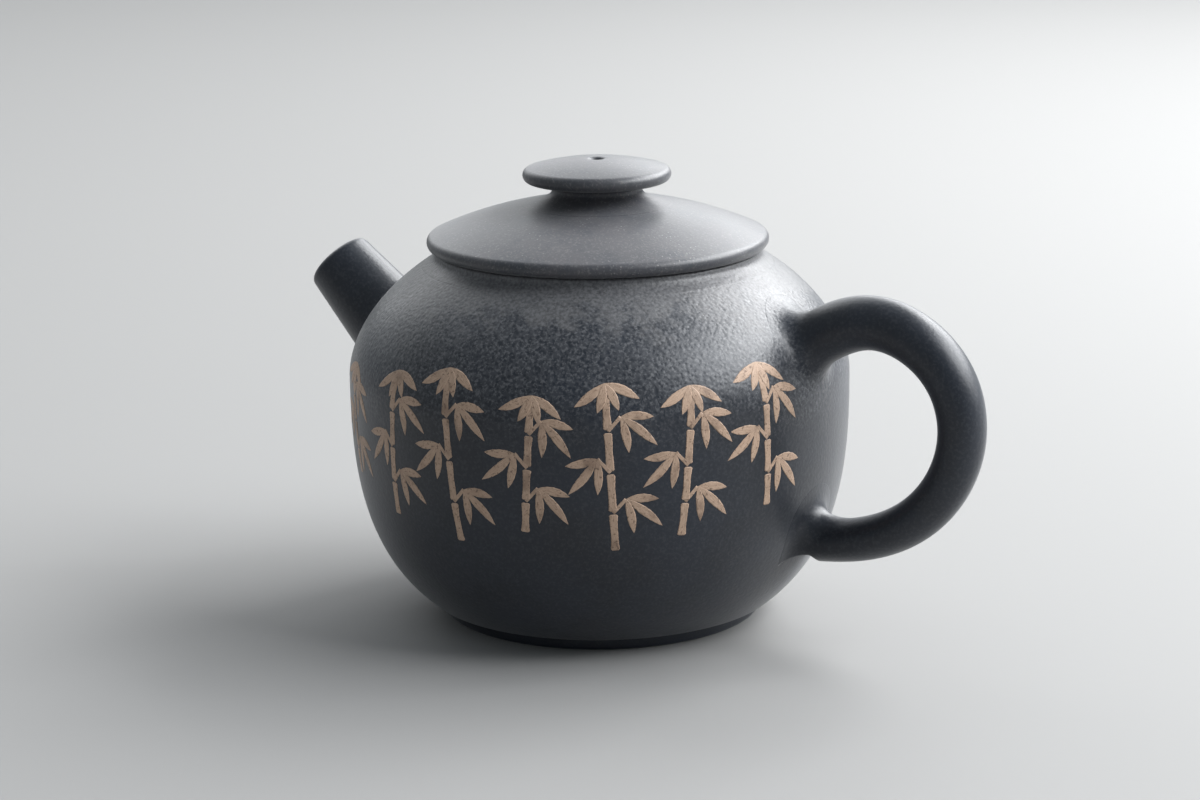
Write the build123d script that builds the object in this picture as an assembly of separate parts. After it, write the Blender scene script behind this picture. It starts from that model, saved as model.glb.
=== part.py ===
"""Small unglazed clay teapot, luted together from separately made pieces.

Millimetres, +Z up. The origin is the centre of the foot, on the table. The handle is
on +X and the spout on -X, so both lie in the XZ plane. The wall, base, foot, neck,
spout, strainer, handle and inlays are the pot; the plate, flange and knob are the lid,
which lifts straight up along +Z.
"""
import os
from math import cos, pi, radians, sin

from build123d import *

# Belly: two superellipses that meet at the widest ring.
BELLY_RADIUS = 44.0
BELLY_HEIGHT = 43.0
LOWER_SPAN = 47.4
LOWER_POWER = 2.79
UPPER_SPAN = 28.37
UPPER_POWER = 1.84
WALL = 2.6

# Foot and base.
FOOT_HEIGHT = 2.2
FOOT_OUTER_RADIUS = 28.2
FOOT_INNER_RADIUS = 24.5
FOOT_EDGE = 0.6
BASE_RADIUS = 27.0
BASE_THICKNESS = 2.8

# Mouth and neck.
SHOULDER_TOP = 63.2
MOUTH_RADIUS = 24.6
NECK_RADIUS = 28.8
NECK_TOP = 64.8

# Lid.
LID_GAP = 0.15
FLANGE_GAP = 0.3
FLANGE_THICKNESS = 2.8
FLANGE_DEPTH = 5.3
LID_RADIUS = 29.9
LID_RIM_ROUND = 1.3
LID_RIM_TILT = 24.0
LID_DOME_MIDDLE = (20.45, 70.66)
LID_CROWN = 72.75
CROWN_RADIUS = 11.5
LID_HOLLOW_MIDDLE = (13.0, 68.0)
LID_HOLLOW_TOP = 69.2
VENT_RADIUS = 1.1

# Knob, from the lid's crown up: (radius, height) of its waist, underside, edge and top.
KNOB_FLARE_MIDDLE = (8.7, 73.75)
KNOB_WAIST = (7.8, 75.3)
KNOB_UNDER_MIDDLE = (9.0, 76.1)
KNOB_UNDER = (11.5, 76.43)
KNOB_EDGE = (12.95, 77.66)
KNOB_SHOULDER = (12.0, 78.88)
KNOB_TOP_MIDDLE = (6.6, 79.98)
KNOB_TOP = 80.4

# Spout: a straight tapered tube. Its tip centre lies on the XZ plane.
TIP_REACH = 55.9
TIP_HEIGHT = 57.6
SPOUT_RISE = 43.0
TIP_RADIUS = 6.2
SPOUT_SIDE = ((7.1, -10), (8.2, -19), (9.6, -26))
SPOUT_ROOT_RADIUS = 12.0
SPOUT_TIP_SLOPE = (0.08, -1)
SPOUT_ROOT_SLOPE = (0.5, -1)
SPOUT_BORE = 3.8
SPOUT_LENGTH = 34.0
LIP = 1.0
PASSAGE_LENGTH = 28.3
OVERCUT = 2.0

# Strainer: a pierced dome on the inside of the wall, over the spout's hole.
STRAINER_DEPTH = 20.3
STRAINER_RADIUS = 8.6
STRAINER_WALL = 1.6
PIERCING_RADIUS = 0.9
PIERCING_RINGS = ((0, 1), (32, 6), (60, 11))

# Handle: an ear, with its centreline in the XZ plane.
HANDLE_LINE = (
    (38.5, 49.5), (45.5, 54.2), (53.3, 56.5), (61.5, 54.2), (67.7, 48.0),
    (69.8, 39.7), (67.4, 30.6), (61.0, 23.2), (52.0, 18.9), (40.0, 17.2),
)
HANDLE_TOP_HALF = 4.95
HANDLE_SIDE_HALF = 4.05
HANDLE_END_HALF = 3.6
HANDLE_TOP_LATERAL = 4.8
HANDLE_END_LATERAL = 3.9
HANDLE_FLARE = 1.6
HANDLE_FLARE_SHARE = 0.1
HANDLE_SECTIONS = 17

# Inlaid bamboo: one set of pale clay strokes for each stalk, let into the wall.
INLAY_DEPTH = 0.5
INLAY_REACH = 3.0
STALK_AZIMUTHS = (-133, -112, -94, -75, -57, -40, -20)
STALK_FOOT = (28, 24, 22, 25, 22, 24, 27)
STALK_TOP = (47, 49, 51, 48, 50, 49, 51)
STALK_LEAN = (4, -3, 4, -4, 3, -4, 2)
STALK_HALF_WIDTH = 0.75
STALK_WAIST = 0.6
JOINT_GAP = 0.55
JOINTS_PER_STALK = 4
TWIG_RISE = 48
TWIG_LENGTH = 3.2
TWIG_HALF_WIDTH = 0.3
LEAF_HALF_WIDTH = 0.72
LEAF_WIDEST = 0.42
LEAF_TURN = 6
SIDE_LEAVES = ((-8, 5.4), (-46, 7.8), (-84, 6.2))
TOP_LEAVES = ((-30, 6.2), (-150, 6.2), (-68, 4.8), (-112, 4.8))
TOP_BUD = 0.6

SIDE_VIEW = Plane.XZ


def belly_radius(z, inset=0.0):
    """Radius of the belly at height z, with the whole surface drawn in by inset."""
    span, power = (LOWER_SPAN, LOWER_POWER) if z < BELLY_HEIGHT else (UPPER_SPAN, UPPER_POWER)
    share = abs(z - BELLY_HEIGHT) / (span - inset)
    return (BELLY_RADIUS - inset) * (1 - share**power) ** (1 / power)


def shoulder_height(radius, inset=0.0):
    """Height at which the shoulder has the given radius: the upper superellipse turned round."""
    share = (1 - (radius / (BELLY_RADIUS - inset)) ** UPPER_POWER) ** (1 / UPPER_POWER)
    return BELLY_HEIGHT + share * (UPPER_SPAN - inset)


def belly_curve(low, high, inset=0.0, steps=12):
    """Spline up the belly from height low to height high, with points closer near both ends."""
    points = []
    for i in range(steps + 1):
        z = low + (high - low) * (1 - cos(pi * i / steps)) / 2
        points.append((belly_radius(z, inset), z))
    return points


def turned(*edges):
    """Solid turned about Z from edges drawn in the XZ plane as (radius, height)."""
    return revolve(SIDE_VIEW * make_face(edges), Axis.Z)


def belly_solid(low, high, inset=0.0):
    """Everything inside the belly's surface, from height low to height high."""
    points = belly_curve(low, high, inset)
    outline = Polyline(points[-1], (0, high), (0, low), points[0])
    return turned(Spline(*points), *outline.edges())


def ring(inner, outer, low, high):
    """Flat ring about Z."""
    return Pos(0, 0, (low + high) / 2) * (
        Cylinder(outer, high - low) - Cylinder(inner, 2 * (high - low))
    )


def spout_place():
    """Frame at the centre of the spout's mouth, with its Z axis pointing out of the spout."""
    rise = radians(SPOUT_RISE)
    return Plane(origin=(-TIP_REACH, 0, TIP_HEIGHT), x_dir=(0, 1, 0), z_dir=(-cos(rise), 0, sin(rise)))


def spout_passage():
    """The straight hole from outside the mouth of the spout to well inside the wall."""
    middle = OVERCUT - PASSAGE_LENGTH / 2
    return spout_place() * (Pos(0, 0, middle) * Cylinder(SPOUT_BORE, PASSAGE_LENGTH))


def make_wall(belly, inlay_tools):
    """The thrown wall: a hollow belly with a mouth, a spout hole and recesses for the inlays."""
    base_top = FOOT_HEIGHT + BASE_THICKNESS
    inner_top = shoulder_height(MOUTH_RADIUS, WALL)
    cavity = belly_solid(base_top, inner_top, WALL)
    mouth = Pos(0, 0, SHOULDER_TOP) * Cylinder(MOUTH_RADIUS, 2 * (SHOULDER_TOP - inner_top + OVERCUT))
    socket = Pos(0, 0, FOOT_HEIGHT) * Cylinder(BASE_RADIUS, 2 * BASE_THICKNESS)
    wall = belly - cavity - mouth - socket - spout_passage()
    for tool in inlay_tools:
        wall = wall - tool
    return wall, cavity


def make_foot():
    """Turned foot ring with softened edges."""
    foot = ring(FOOT_INNER_RADIUS, FOOT_OUTER_RADIUS, 0, FOOT_HEIGHT)
    return fillet(foot.edges().group_by(Axis.Z)[0], FOOT_EDGE)


def make_base():
    """Round slab that closes the bottom of the wall."""
    return Pos(0, 0, FOOT_HEIGHT + BASE_THICKNESS / 2) * Cylinder(BASE_RADIUS, BASE_THICKNESS)


def make_neck():
    """Low collar round the mouth, whose top the lid rests on."""
    return ring(MOUTH_RADIUS, NECK_RADIUS, SHOULDER_TOP, NECK_TOP)


def make_spout(belly):
    """Tapered tube with a rounded lip, widening where it is luted to the wall."""
    lip = ThreePointArc((SPOUT_BORE, -LIP / 2), (TIP_RADIUS - LIP, 0), (TIP_RADIUS, -LIP))
    tip, root = (TIP_RADIUS, -LIP), (SPOUT_ROOT_RADIUS, -SPOUT_LENGTH)
    side = Spline(tip, *SPOUT_SIDE, root, tangents=(SPOUT_TIP_SLOPE, SPOUT_ROOT_SLOPE))
    back = Polyline(root, (SPOUT_BORE, -SPOUT_LENGTH), (SPOUT_BORE, -LIP / 2))
    tube = revolve(SIDE_VIEW * make_face([lip, side, *back.edges()]), Axis.Z)
    return spout_place() * tube - belly


def make_strainer(cavity):
    """Dome of pierced clay inside the wall, centred on the spout's axis."""
    centre = (spout_place() * Pos(0, 0, -STRAINER_DEPTH)).position
    dome = Pos(*centre) * (Sphere(STRAINER_RADIUS) - Sphere(STRAINER_RADIUS - STRAINER_WALL))
    dome = dome & cavity
    for tilt, count in PIERCING_RINGS:
        for i in range(count):
            turn = 360 * i / count
            aim = Pos(*centre) * Rot(0, 90, 0) * Rot(0, 0, turn) * Rot(0, tilt, 0)
            dome = dome - aim * Pos(0, 0, STRAINER_RADIUS) * Cylinder(PIERCING_RADIUS, STRAINER_RADIUS)
    return dome


def handle_halves(t):
    """Half thickness in the handle's plane, and across it, at share t of its length."""
    first = min(t / 0.5, 1.0)
    second = max(0.0, (t - 0.5) / 0.5)
    inplane = HANDLE_TOP_HALF + (HANDLE_SIDE_HALF - HANDLE_TOP_HALF) * first
    inplane += (HANDLE_END_HALF - HANDLE_SIDE_HALF) * second
    across = HANDLE_TOP_LATERAL + (HANDLE_END_LATERAL - HANDLE_TOP_LATERAL) * t
    nearest_end = min(t, 1 - t)
    flare = HANDLE_FLARE * max(0.0, 1 - nearest_end / HANDLE_FLARE_SHARE) ** 2
    return inplane + flare, across + flare


def make_handle(belly):
    """Ear handle lofted through ellipses along its centreline, cut where it meets the wall."""
    line = Spline(*[(x, 0, z) for x, z in HANDLE_LINE])
    sections = []
    for i in range(HANDLE_SECTIONS):
        t = i / (HANDLE_SECTIONS - 1)
        inplane, across = handle_halves(t)
        place = Plane(origin=line @ t, x_dir=(0, 1, 0), z_dir=line % t)
        sections.append(place * Ellipse(across, inplane))
    return loft(sections) - belly


def prism(place, face):
    """Straight cutting tool through the surface at place, with the given outline."""
    return extrude(place * face, INLAY_REACH, both=True)


def leaf(start, angle, length):
    """One bamboo leaf: two arcs from its stem at start to its point, along angle from level."""
    widest = LEAF_WIDEST * length
    upper = ThreePointArc((0, 0), (widest, LEAF_HALF_WIDTH), (length, 0))
    lower = ThreePointArc((length, 0), (widest, -LEAF_HALF_WIDTH), (0, 0))
    return Pos(*start) * Rot(0, 0, angle) * make_face([upper, lower])


def internode(low, high):
    """One length of stalk, a little wider at both ends."""
    middle = (low + high) / 2
    right = ThreePointArc((STALK_HALF_WIDTH, low), (STALK_WAIST, middle), (STALK_HALF_WIDTH, high))
    left = ThreePointArc((-STALK_HALF_WIDTH, high), (-STALK_WAIST, middle), (-STALK_HALF_WIDTH, low))
    top = Line((STALK_HALF_WIDTH, high), (-STALK_HALF_WIDTH, high))
    bottom = Line((-STALK_HALF_WIDTH, low), (STALK_HALF_WIDTH, low))
    return make_face([right, top, left, bottom])


def twig(start, angle):
    """Thin straight twig from a joint."""
    bar = Pos(TWIG_LENGTH / 2, 0) * Rectangle(TWIG_LENGTH, 2 * TWIG_HALF_WIDTH)
    return Pos(*start) * Rot(0, 0, angle) * bar


def surface_place(azimuth, z):
    """Frame on the belly's surface, with X round the pot, Y up and Z outwards."""
    a = radians(azimuth)
    r = belly_radius(z)
    return Plane(origin=(r * cos(a), r * sin(a), z), x_dir=(-sin(a), cos(a), 0), z_dir=(cos(a), sin(a), 0))


def joint_strokes(joint, bud, turn):
    """Twig and leaves at one joint: a drooping crown at the top, else a spray to one side."""
    x, y = bud
    if joint == JOINTS_PER_STALK:
        return [leaf((x, y + TOP_BUD), angle + turn, length) for angle, length in TOP_LEAVES]
    right = joint % 2 == 1
    rise = TWIG_RISE if right else 180 - TWIG_RISE
    tip = (x + TWIG_LENGTH * cos(radians(rise)), y + TWIG_LENGTH * sin(radians(rise)))
    strokes = [twig(bud, rise)]
    for angle, length in SIDE_LEAVES:
        droop = angle if right else 180 - angle
        strokes.append(leaf(tip, droop + turn, length))
    return strokes


def stalk_tool(index):
    """All the strokes of one stalk, as one cutting tool that stands past the surface."""
    foot, top, lean = STALK_FOOT[index], STALK_TOP[index], STALK_LEAN[index]
    middle = (foot + top) / 2
    place = surface_place(STALK_AZIMUTHS[index], middle)
    step = (top - foot) / JOINTS_PER_STALK
    strokes = []
    for joint in range(1, JOINTS_PER_STALK + 1):
        height = foot - middle + joint * step
        strokes.append(Rot(0, 0, lean) * internode(height - step, height - JOINT_GAP))
        rise = height - JOINT_GAP / 2
        bud = (-rise * sin(radians(lean)), rise * cos(radians(lean)))
        turn = LEAF_TURN * ((2 * index + 3 * joint) % 3 - 1)
        strokes += joint_strokes(joint, bud, turn)
    return Part() + [prism(place, stroke) for stroke in strokes]


def make_inlays(belly):
    """The pale clay set into the wall, and the matching tools that cut its recesses."""
    core = belly_solid(FOOT_HEIGHT, SHOULDER_TOP, INLAY_DEPTH)
    tools = [stalk_tool(index) - core for index in range(len(STALK_AZIMUTHS))]
    inlays = [tool & belly for tool in tools]
    return tools, inlays


def make_lid_plate():
    """Domed disc that runs into a round rim, with a hollow underside and the vent's lower end."""
    seat = NECK_TOP + LID_GAP
    rim_centre = LID_RADIUS - LID_RIM_ROUND
    tilt = radians(LID_RIM_TILT)
    rim_top = (rim_centre + LID_RIM_ROUND * sin(tilt), seat + LID_RIM_ROUND * (1 + cos(tilt)))
    hollow_radius = MOUTH_RADIUS - FLANGE_GAP - FLANGE_THICKNESS
    rim = ThreePointArc((rim_centre, seat), (LID_RADIUS, seat + LID_RIM_ROUND), rim_top)
    dome = ThreePointArc(rim_top, LID_DOME_MIDDLE, (CROWN_RADIUS, LID_CROWN))
    crown = Line((CROWN_RADIUS, LID_CROWN), (VENT_RADIUS, LID_CROWN))
    vent = Line((VENT_RADIUS, LID_CROWN), (VENT_RADIUS, LID_HOLLOW_TOP))
    hollow = ThreePointArc((VENT_RADIUS, LID_HOLLOW_TOP), LID_HOLLOW_MIDDLE, (hollow_radius, seat))
    underside = Line((hollow_radius, seat), (rim_centre, seat))
    return turned(rim, dome, crown, vent, hollow, underside)


def make_lid_flange():
    """Ring under the lid that keeps it in the mouth."""
    seat = NECK_TOP + LID_GAP
    outer = MOUTH_RADIUS - FLANGE_GAP
    return ring(outer - FLANGE_THICKNESS, outer, seat - FLANGE_DEPTH, seat)


def make_knob():
    """Flattened disc on a short flared neck, with the vent down its middle."""
    flare = ThreePointArc((CROWN_RADIUS, LID_CROWN), KNOB_FLARE_MIDDLE, KNOB_WAIST)
    under = ThreePointArc(KNOB_WAIST, KNOB_UNDER_MIDDLE, KNOB_UNDER)
    edge = ThreePointArc(KNOB_UNDER, KNOB_EDGE, KNOB_SHOULDER)
    top = ThreePointArc(KNOB_SHOULDER, KNOB_TOP_MIDDLE, (VENT_RADIUS, KNOB_TOP))
    vent = Line((VENT_RADIUS, KNOB_TOP), (VENT_RADIUS, LID_CROWN))
    foot = Line((VENT_RADIUS, LID_CROWN), (CROWN_RADIUS, LID_CROWN))
    return turned(flare, under, edge, top, vent, foot)


def main():
    belly = belly_solid(FOOT_HEIGHT, SHOULDER_TOP)
    tools, inlays = make_inlays(belly)
    wall, cavity = make_wall(belly, tools)
    pieces = {
        "body_wall": wall,
        "foot_ring": make_foot(),
        "base_disc": make_base(),
        "neck_ring": make_neck(),
        "spout": make_spout(belly),
        "strainer": make_strainer(cavity),
        "handle": make_handle(belly),
        "lid_plate": make_lid_plate(),
        "lid_flange": make_lid_flange(),
        "lid_knob": make_knob(),
    }
    for index, inlay in enumerate(inlays, start=1):
        pieces[f"inlay_bamboo_{index}"] = inlay
    os.makedirs("parts", exist_ok=True)
    for name, shape in pieces.items():
        export_step(shape, f"parts/{name}.step")


main()
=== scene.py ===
"""Small unglazed clay teapot with inlaid bamboo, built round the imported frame.

Shapes are worked out in millimetres and turned into metres when a mesh is made. The pot
stands on its foot at z = 0, with the handle on +X, the spout on -X and the inlaid side
facing -Y. Everything is a surface of two parameters on a grid.
"""
import math

import bmesh
import bpy
import numpy as np
from mathutils import Matrix, Vector


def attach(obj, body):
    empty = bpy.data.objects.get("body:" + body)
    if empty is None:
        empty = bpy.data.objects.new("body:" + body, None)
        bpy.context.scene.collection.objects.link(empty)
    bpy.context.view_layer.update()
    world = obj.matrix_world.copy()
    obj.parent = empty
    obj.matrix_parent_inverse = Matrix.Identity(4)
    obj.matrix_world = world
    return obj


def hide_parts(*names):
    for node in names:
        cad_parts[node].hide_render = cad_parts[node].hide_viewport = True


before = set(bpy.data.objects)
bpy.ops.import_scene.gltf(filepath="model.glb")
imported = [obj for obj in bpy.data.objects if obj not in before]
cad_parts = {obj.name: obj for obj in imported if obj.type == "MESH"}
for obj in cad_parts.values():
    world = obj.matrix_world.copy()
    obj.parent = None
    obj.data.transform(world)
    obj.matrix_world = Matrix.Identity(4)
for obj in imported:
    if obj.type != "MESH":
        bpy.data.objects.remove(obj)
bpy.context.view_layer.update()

MM = 0.001
TAU = 2 * math.pi

# Belly: two superellipses that meet at the widest ring.
BELLY_RADIUS = 44.0
BELLY_HEIGHT = 43.0
LOWER_SPAN = 47.4
LOWER_POWER = 2.79
UPPER_SPAN = 28.37
UPPER_POWER = 1.84
WALL = 2.6
WOBBLE = 0.06

# Where a piece is luted on, its hem runs on past its edge and dips under the surface: pairs of
# how far past the edge, and how far above the surface.
HEM_STEPS = ((0.0, 0.02), (0.3, -0.03), (0.35, -0.4))
HEM_DEPTH = 1.4

# Heights and radii of the turned pieces.
BELLY_FOOT = 29.4
FOOT_TOP = 2.2
FOOT_OUTER = 28.2
FOOT_INNER = 24.5
BASE_RADIUS = 27.0
BASE_TOP = 5.0
SHOULDER_TOP = 63.2
MOUTH_RADIUS = 24.6
NECK_RADIUS = 28.8
NECK_TOP = 64.8
COLLAR_HEM = 30.7
COLLAR_FOOT = 61.4
LID_SEAT = 64.95
LID_RIM_FOOT = (28.57, 64.95)
LID_RIM_OUT = (29.87, 66.26)
LID_RIM_TOP = (29.1, 67.45)
LID_DOME_MIDDLE = (20.45, 70.66)
LID_HOLLOW_MIDDLE = (13.0, 68.0)
LID_CROWN = 72.75
CROWN_RADIUS = 11.5
LID_HOLLOW_TOP = 69.2
FLANGE_OUTER = 24.3
FLANGE_INNER = 21.5
FLANGE_FOOT = 59.65
VENT_RADIUS = 1.1
KNOB_HEM = 13.0
KNOB_FLARE_PULL = (8.05, 73.43)
KNOB_WAIST = (7.8, 75.1)
KNOB_UNDER_PULL = (7.75, 76.35)
KNOB_UNDER = (11.5, 76.43)
KNOB_EDGE = (12.95, 77.66)
KNOB_SHOULDER = (12.0, 78.88)
KNOB_TOP_MIDDLE = (6.6, 79.98)
KNOB_TOP = 80.4
KNOB_DIMPLE = 1.9

# Spout.
TIP = np.array([-55.9, 0.0, 57.6])
SPOUT_RISE = math.radians(43.0)
TIP_RADIUS = 6.2
SPOUT_BORE = 3.8
SPOUT_LENGTH = 34.0
SPOUT_LIP = 0.9
SPOUT_TAPER = 0.105
SPOUT_SWELL = 0.0012
SPOUT_SWELL_START = 12.0
SPOUT_FILLET = 3.0

# Handle.
HANDLE_LINE = (
    (38.5, 49.5), (45.5, 54.2), (53.3, 56.5), (61.5, 54.2), (67.7, 48.0),
    (69.8, 39.7), (67.4, 30.6), (61.0, 23.2), (52.0, 18.9), (40.0, 17.2),
)
HANDLE_TOP_HALF = 4.95
HANDLE_SIDE_HALF = 4.05
HANDLE_END_HALF = 3.6
HANDLE_TOP_LATERAL = 4.8
HANDLE_END_LATERAL = 3.9
HANDLE_FILLET = 3.4
HANDLE_UPPER_EASE = 1.8
HANDLE_LOWER_EASE = 3.0
HANDLE_UNDER_EASE = 1.6

# Inlaid bamboo.
STALK_AZIMUTHS = (-133, -112, -94, -75, -57, -40, -20)
STALK_FOOT = (28, 24, 22, 25, 22, 24, 27)
STALK_TOP = (47, 49, 51, 48, 50, 49, 51)
STALK_LEAN = (4, -3, 4, -4, 3, -4, 2)
STALK_HALF_WIDTH = 0.75
STALK_WAIST = 0.6
JOINT_GAP = 0.55
JOINTS_PER_STALK = 4
TWIG_RISE = 48
TWIG_LENGTH = 3.2
TWIG_HALF_WIDTH = 0.3
LEAF_HALF_WIDTH = 0.72
LEAF_WIDEST = 0.42
LEAF_BOW = 0.03
LEAF_TURN = 6
STROKE_ROUGH = 0.07
STROKE_STEP = 0.002
SIDE_LEAVES = ((-8, 5.4), (-46, 7.8), (-84, 6.2))
TOP_LEAVES = ((-30, 6.2), (-150, 6.2), (-68, 4.8), (-112, 4.8))
TOP_BUD = 0.6
INLAY_PROUD = 0.03
INLAY_SUNK = 0.35


# ---------------------------------------------------------------- surfaces

def belly_radius(z, inset=0.0):
    """Radius of the belly at heights z: R (1 - (distance from the widest ring / span)^p)^(1/p)."""
    z = np.asarray(z, float)
    lower = z < BELLY_HEIGHT
    span = np.where(lower, LOWER_SPAN, UPPER_SPAN) - inset
    power = np.where(lower, LOWER_POWER, UPPER_POWER)
    share = np.clip(np.abs(z - BELLY_HEIGHT) / span, 0, 1)
    return (BELLY_RADIUS - inset) * (1 - share**power) ** (1 / power)


def shoulder_height(radius, inset=0.0):
    """Height at which the shoulder has the given radius."""
    share = (1 - (radius / (BELLY_RADIUS - inset)) ** UPPER_POWER) ** (1 / UPPER_POWER)
    return BELLY_HEIGHT + share * (UPPER_SPAN - inset)


def wobble(azimuth, z):
    """Hand-made unevenness of the belly: three slow waves round and up the pot, in millimetres."""
    fade = np.clip((z - 6) / 10, 0, 1) * np.clip((62 - z) / 8, 0, 1)
    waves = np.sin(2 * azimuth + 0.7 + z / 17) + 0.6 * np.sin(3 * azimuth - z / 11)
    return WOBBLE * fade * (waves + 0.5 * np.sin(5 * azimuth + z / 7))


def on_belly(azimuth, z, lift=0.0):
    """Points on the belly at the given azimuths and heights, moved out along the normal by lift."""
    radius = belly_radius(z) + wobble(azimuth, z)
    slope = (belly_radius(z + 0.05) - belly_radius(z - 0.05)) / 0.1
    length = np.hypot(1, slope)
    out = radius + lift / length
    return np.stack([out * np.cos(azimuth), out * np.sin(azimuth), z - lift * slope / length], -1)


def pull_to_belly(points, lift=0.0):
    """The points moved level to the belly's surface, then out along its normal by lift."""
    return on_belly(np.arctan2(points[..., 1], points[..., 0]), points[..., 2], lift)


def belly_gap(points):
    """How far points stand outside the belly, measured level; negative inside."""
    azimuth = np.arctan2(points[..., 1], points[..., 0])
    z = points[..., 2]
    return np.hypot(points[..., 0], points[..., 1]) - belly_radius(z) - wobble(azimuth, z)


def belly_normal(points):
    """Outward unit normal of the belly at points on it."""
    azimuth = np.arctan2(points[..., 1], points[..., 0])
    z = points[..., 2]
    slope = (belly_radius(z + 0.05) - belly_radius(z - 0.05)) / 0.1
    normal = np.stack([np.cos(azimuth), np.sin(azimuth), -slope], -1)
    return normal / np.linalg.norm(normal, axis=-1, keepdims=True)


def arc(a, b, c, count=16):
    """Points on the circle through a, b and c, from a to c."""
    (ax, ay), (bx, by), (cx, cy) = a, b, c
    d = 2 * (ax * (by - cy) + bx * (cy - ay) + cx * (ay - by))
    ka, kb, kc = ax * ax + ay * ay, bx * bx + by * by, cx * cx + cy * cy
    ux = (ka * (by - cy) + kb * (cy - ay) + kc * (ay - by)) / d
    uy = (ka * (cx - bx) + kb * (ax - cx) + kc * (bx - ax)) / d
    start = math.atan2(ay - uy, ax - ux)
    through = (math.atan2(by - uy, bx - ux) - start) % TAU
    end = (math.atan2(cy - uy, cx - ux) - start) % TAU
    if through > end:
        end -= TAU
    angles = start + np.linspace(0, end, count)
    radius = math.hypot(ax - ux, ay - uy)
    return np.stack([ux + radius * np.cos(angles), uy + radius * np.sin(angles)], -1)


def bezier(a, b, c, count=16):
    """Parabola from a to c that leaves a and reaches c in the direction of b."""
    s = np.linspace(0, 1, count)[:, None]
    a, b, c = np.array(a), np.array(b), np.array(c)
    return (1 - s) ** 2 * a + 2 * s * (1 - s) * b + s**2 * c


def rounded(corners, radii, count=7):
    """Closed outline through the corners, each one eased by a parabola that starts radius away."""
    corners = np.array(corners, float)
    before = np.roll(corners, 1, 0) - corners
    after = np.roll(corners, -1, 0) - corners
    radii = np.array(radii, float)[:, None]
    start = corners + before / np.linalg.norm(before, axis=1, keepdims=True) * radii
    end = corners + after / np.linalg.norm(after, axis=1, keepdims=True) * radii
    s = np.linspace(0, 1, count)[None, :, None]
    eased = (1 - s) ** 2 * start[:, None] + 2 * s * (1 - s) * corners[:, None] + s**2 * end[:, None]
    return eased.reshape(-1, 2)


def dense(outline, step):
    """The closed outline with extra points, so that no side is longer than step."""
    points = []
    for a, b in zip(outline, np.roll(outline, -1, 0)):
        count = max(1, math.ceil(np.linalg.norm(b - a) / step))
        points.append(a + (b - a) * np.arange(count)[:, None] / count)
    return np.concatenate(points)


def straight(a, b, count):
    """Evenly spaced points on the line from a to b, without a itself."""
    share = np.arange(1, count + 1)[:, None] / count
    return np.array(a) + (np.array(b) - np.array(a)) * share


def cubic_line(knots, count):
    """Natural cubic spline through the knots, spaced by chord length: points and unit tangents."""
    knots = np.array(knots, float)
    t = np.concatenate([[0], np.cumsum(np.linalg.norm(np.diff(knots, axis=0), axis=1))])
    h = np.diff(t)
    n = len(knots)
    matrix, right = np.eye(n), np.zeros_like(knots)
    for i in range(1, n - 1):
        matrix[i, i - 1 : i + 2] = h[i - 1], 2 * (h[i - 1] + h[i]), h[i]
        right[i] = 6 * ((knots[i + 1] - knots[i]) / h[i] - (knots[i] - knots[i - 1]) / h[i - 1])
    bend = np.linalg.solve(matrix, right)
    u = np.linspace(0, t[-1], count)
    k = np.clip(np.searchsorted(t, u, side="right") - 1, 0, n - 2)
    a, b, width = (t[k + 1] - u)[:, None], (u - t[k])[:, None], h[k][:, None]
    line = (bend[k] * a**3 + bend[k + 1] * b**3) / (6 * width)
    line += (knots[k] / width - bend[k] * width / 6) * a
    line += (knots[k + 1] / width - bend[k + 1] * width / 6) * b
    tangent = np.gradient(line, axis=0)
    return line, tangent / np.linalg.norm(tangent, axis=1, keepdims=True)


# ---------------------------------------------------------------- meshes

def grid_quads(rows, columns, wrap_rows=False, wrap_columns=True, first=0):
    """Quads of a grid of points stored row by row."""
    r = np.arange(rows if wrap_rows else rows - 1)[:, None]
    c = np.arange(columns if wrap_columns else columns - 1)[None, :]
    r2, c2 = (r + 1) % rows, (c + 1) % columns
    quads = np.stack([r * columns + c, r * columns + c2, r2 * columns + c2, r2 * columns + c], -1)
    return quads.reshape(-1, 4) + first


def make_mesh(name, points, quads, uv=None, slots=None):
    """Smooth mesh object, in metres, from points in millimetres. Its faces are turned outwards
    by the sign of the volume that they enclose, and points that coincide are merged."""
    points = np.asarray(points, float).reshape(-1, 3)
    corner = points[quads]
    volume = np.einsum("ij,ij->i", corner[:, 0], np.cross(corner[:, 1], corner[:, 2])).sum()
    volume += np.einsum("ij,ij->i", corner[:, 0], np.cross(corner[:, 2], corner[:, 3])).sum()
    if volume < 0:
        quads = quads[:, ::-1]
    mesh = bpy.data.meshes.new(name)
    mesh.from_pydata((points * MM).tolist(), [], quads.tolist())
    if uv is not None:
        layer = mesh.uv_layers.new(name="along")
        layer.data.foreach_set("uv", np.asarray(uv, np.float32)[quads.ravel()].ravel())
    if slots is not None:
        mesh.polygons.foreach_set("material_index", np.asarray(slots, np.int32))
    merge_points(mesh)
    mesh.polygons.foreach_set("use_smooth", np.ones(len(mesh.polygons), bool))
    mesh.update()
    piece = bpy.data.objects.new(name, mesh)
    bpy.context.scene.collection.objects.link(piece)
    return piece


def merge_points(mesh):
    """Merges points that coincide, which closes poles and seams."""
    work = bmesh.new()
    work.from_mesh(mesh)
    bmesh.ops.remove_doubles(work, verts=work.verts, dist=1e-7)
    bmesh.ops.dissolve_degenerate(work, edges=work.edges, dist=1e-8)
    work.to_mesh(mesh)
    work.free()


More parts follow.
